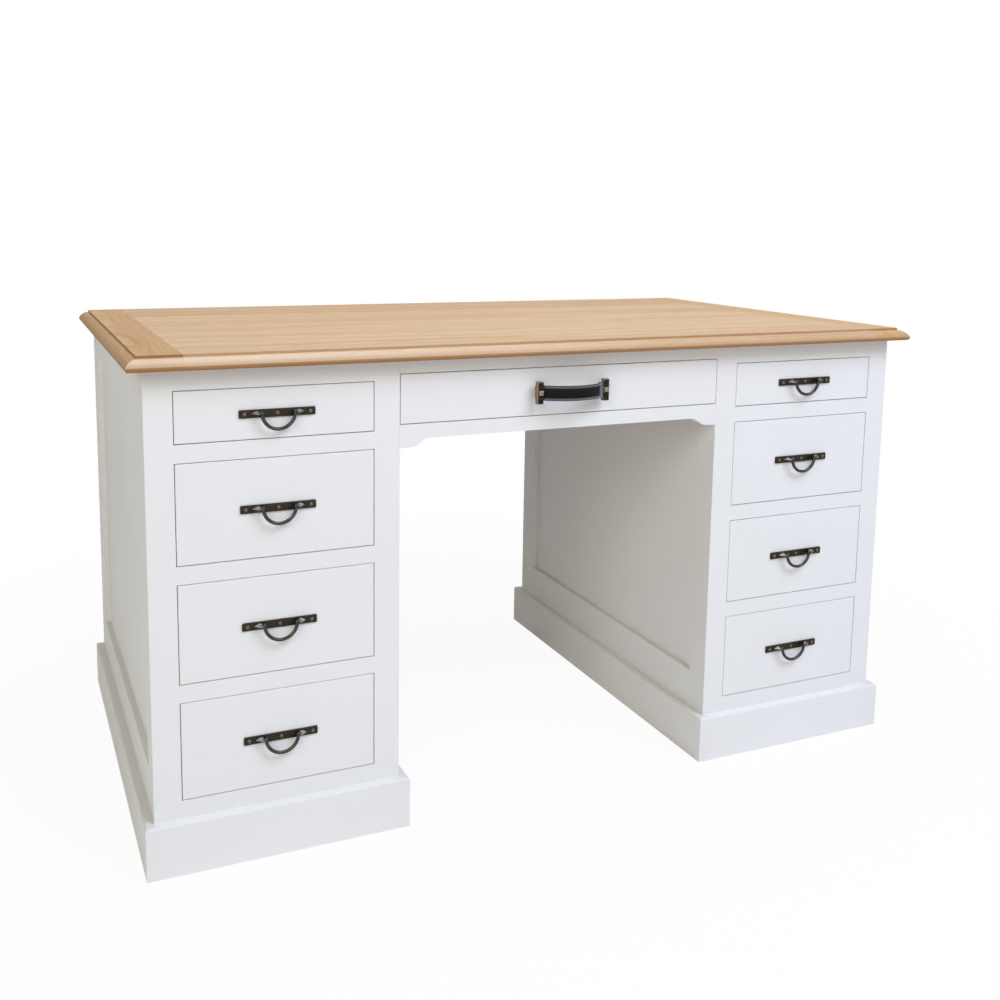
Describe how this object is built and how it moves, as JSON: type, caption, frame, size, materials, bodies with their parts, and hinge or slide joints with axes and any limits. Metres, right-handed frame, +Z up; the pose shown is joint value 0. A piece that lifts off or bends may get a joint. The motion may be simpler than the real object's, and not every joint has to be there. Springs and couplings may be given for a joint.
{
  "type": "kneehole desk",
  "caption": "Kneehole desk with drawer pedestals either side of a shallow drawer, an oak breadboard top and white painted carcase.",
  "frame": {"origin": "on the floor, under the middle of the desk", "axes": "+X to the sitter's right, +Y to the back, +Z up; the drawer fronts face -Y"},
  "size_m": [1.4, 0.8085, 0.78],
  "materials": {
    "painted_wood": "white satin paint on wood",
    "oak_field": "satin lacquered oak, grain along the desk",
    "oak_end": "satin lacquered oak, grain across the desk",
    "drawer_wood": "clear finished light wood",
    "carcase_wood": "bare planed wood",
    "iron": "waxed black-brown antique iron",
    "bronze": "dark antique bronze with worn edges",
    "leather": "black leather, stitched border",
    "brass": "satin brass"
  },
  "bodies": {
    "carcase": {"top_field_boards": "oak_field", "top_breadboard_left": "oak_end", "top_breadboard_right": "oak_end", "left_face_frame": "painted_wood", "right_face_frame": "painted_wood", "left_outer_side_frame": "painted_wood", "left_inner_side_frame": "painted_wood", "right_inner_side_frame": "painted_wood", "right_outer_side_frame": "painted_wood", "left_back_frame": "painted_wood", "right_back_frame": "painted_wood", "left_panels": "painted_wood", "right_panels": "painted_wood", "left_plinth": "painted_wood", "right_plinth": "painted_wood", "centre_top_rail": "painted_wood", "centre_ogee_rail": "painted_wood", "kneehole_back_apron": "painted_wood", "top_fixing_cleats": "carcase_wood", "bottom_boards": "carcase_wood", "left_drawer_runners": "carcase_wood", "right_drawer_runners": "carcase_wood", "centre_drawer_runners": "carcase_wood"},
    "left_drawer_1": {"left_drawer_1_front": "painted_wood", "left_drawer_1_box": "drawer_wood", "left_pull_1_plate": "iron"},
    "left_bail_1": {"left_pull_1_bail": "iron"},
    "left_drawer_2": {"left_drawer_2_front": "painted_wood", "left_drawer_2_box": "drawer_wood", "left_pull_2_plate": "iron"},
    "left_bail_2": {"left_pull_2_bail": "iron"},
    "left_drawer_3": {"left_drawer_3_front": "painted_wood", "left_drawer_3_box": "drawer_wood", "left_pull_3_plate": "iron"},
    "left_bail_3": {"left_pull_3_bail": "iron"},
    "left_drawer_4": {"left_drawer_4_front": "painted_wood", "left_drawer_4_box": "drawer_wood", "left_pull_4_plate": "iron"},
    "left_bail_4": {"left_pull_4_bail": "iron"},
    "right_drawer_1": {"right_drawer_1_front": "painted_wood", "right_drawer_1_box": "drawer_wood", "right_pull_1_plate": "iron"},
    "right_bail_1": {"right_pull_1_bail": "iron"},
    "right_drawer_2": {"right_drawer_2_front": "painted_wood", "right_drawer_2_box": "drawer_wood", "right_pull_2_plate": "iron"},
    "right_bail_2": {"right_pull_2_bail": "iron"},
    "right_drawer_3": {"right_drawer_3_front": "painted_wood", "right_drawer_3_box": "drawer_wood", "right_pull_3_plate": "iron"},
    "right_bail_3": {"right_pull_3_bail": "iron"},
    "right_drawer_4": {"right_drawer_4_front": "painted_wood", "right_drawer_4_box": "drawer_wood", "right_pull_4_plate": "iron"},
    "right_bail_4": {"right_pull_4_bail": "iron"},
    "centre_drawer": {"centre_drawer_front": "painted_wood", "centre_drawer_box": "drawer_wood", "strap_pull_brackets": "bronze", "strap_pull_leather": "leather", "strap_pull_studs": "brass"}
  },
  "joints": [
    {"name": "left_drawer_1_slide", "type": "slide", "parent": "carcase", "child": "left_drawer_1", "axis": [0, -1, 0], "range_m": [0, 0.43]},
    {"name": "left_bail_1_swing", "type": "hinge", "parent": "left_drawer_1", "child": "left_bail_1", "pos_m": [-0.484, -0.3795, 0.689], "axis": [-1, 0, 0], "range_deg": [-14, 194]},
    {"name": "left_drawer_2_slide", "type": "slide", "parent": "carcase", "child": "left_drawer_2", "axis": [0, -1, 0], "range_m": [0, 0.43]},
    {"name": "left_bail_2_swing", "type": "hinge", "parent": "left_drawer_2", "child": "left_bail_2", "pos_m": [-0.484, -0.3795, 0.54675], "axis": [-1, 0, 0], "range_deg": [-14, 194]},
    {"name": "left_drawer_3_slide", "type": "slide", "parent": "carcase", "child": "left_drawer_3", "axis": [0, -1, 0], "range_m": [0, 0.43]},
    {"name": "left_bail_3_swing", "type": "hinge", "parent": "left_drawer_3", "child": "left_bail_3", "pos_m": [-0.484, -0.3795, 0.36725], "axis": [-1, 0, 0], "range_deg": [-14, 194]},
    {"name": "left_drawer_4_slide", "type": "slide", "parent": "carcase", "child": "left_drawer_4", "axis": [0, -1, 0], "range_m": [0, 0.43]},
    {"name": "left_bail_4_swing", "type": "hinge", "parent": "left_drawer_4", "child": "left_bail_4", "pos_m": [-0.484, -0.3795, 0.18775], "axis": [-1, 0, 0], "range_deg": [-14, 194]},
    {"name": "right_drawer_1_slide", "type": "slide", "parent": "carcase", "child": "right_drawer_1", "axis": [0, -1, 0], "range_m": [0, 0.43]},
    {"name": "right_bail_1_swing", "type": "hinge", "parent": "right_drawer_1", "child": "right_bail_1", "pos_m": [0.484, -0.3795, 0.689], "axis": [-1, 0, 0], "range_deg": [-14, 194]},
    {"name": "right_drawer_2_slide", "type": "slide", "parent": "carcase", "child": "right_drawer_2", "axis": [0, -1, 0], "range_m": [0, 0.43]},
    {"name": "right_bail_2_swing", "type": "hinge", "parent": "right_drawer_2", "child": "right_bail_2", "pos_m": [0.484, -0.3795, 0.54675], "axis": [-1, 0, 0], "range_deg": [-14, 194]},
    {"name": "right_drawer_3_slide", "type": "slide", "parent": "carcase", "child": "right_drawer_3", "axis": [0, -1, 0], "range_m": [0, 0.43]},
    {"name": "right_bail_3_swing", "type": "hinge", "parent": "right_drawer_3", "child": "right_bail_3", "pos_m": [0.484, -0.3795, 0.36725], "axis": [-1, 0, 0], "range_deg": [-14, 194]},
    {"name": "right_drawer_4_slide", "type": "slide", "parent": "carcase", "child": "right_drawer_4", "axis": [0, -1, 0], "range_m": [0, 0.43]},
    {"name": "right_bail_4_swing", "type": "hinge", "parent": "right_drawer_4", "child": "right_bail_4", "pos_m": [0.484, -0.3795, 0.18775], "axis": [-1, 0, 0], "range_deg": [-14, 194]},
    {"name": "centre_drawer_slide", "type": "slide", "parent": "carcase", "child": "centre_drawer", "axis": [0, -1, 0], "range_m": [0, 0.38]}
  ]
}
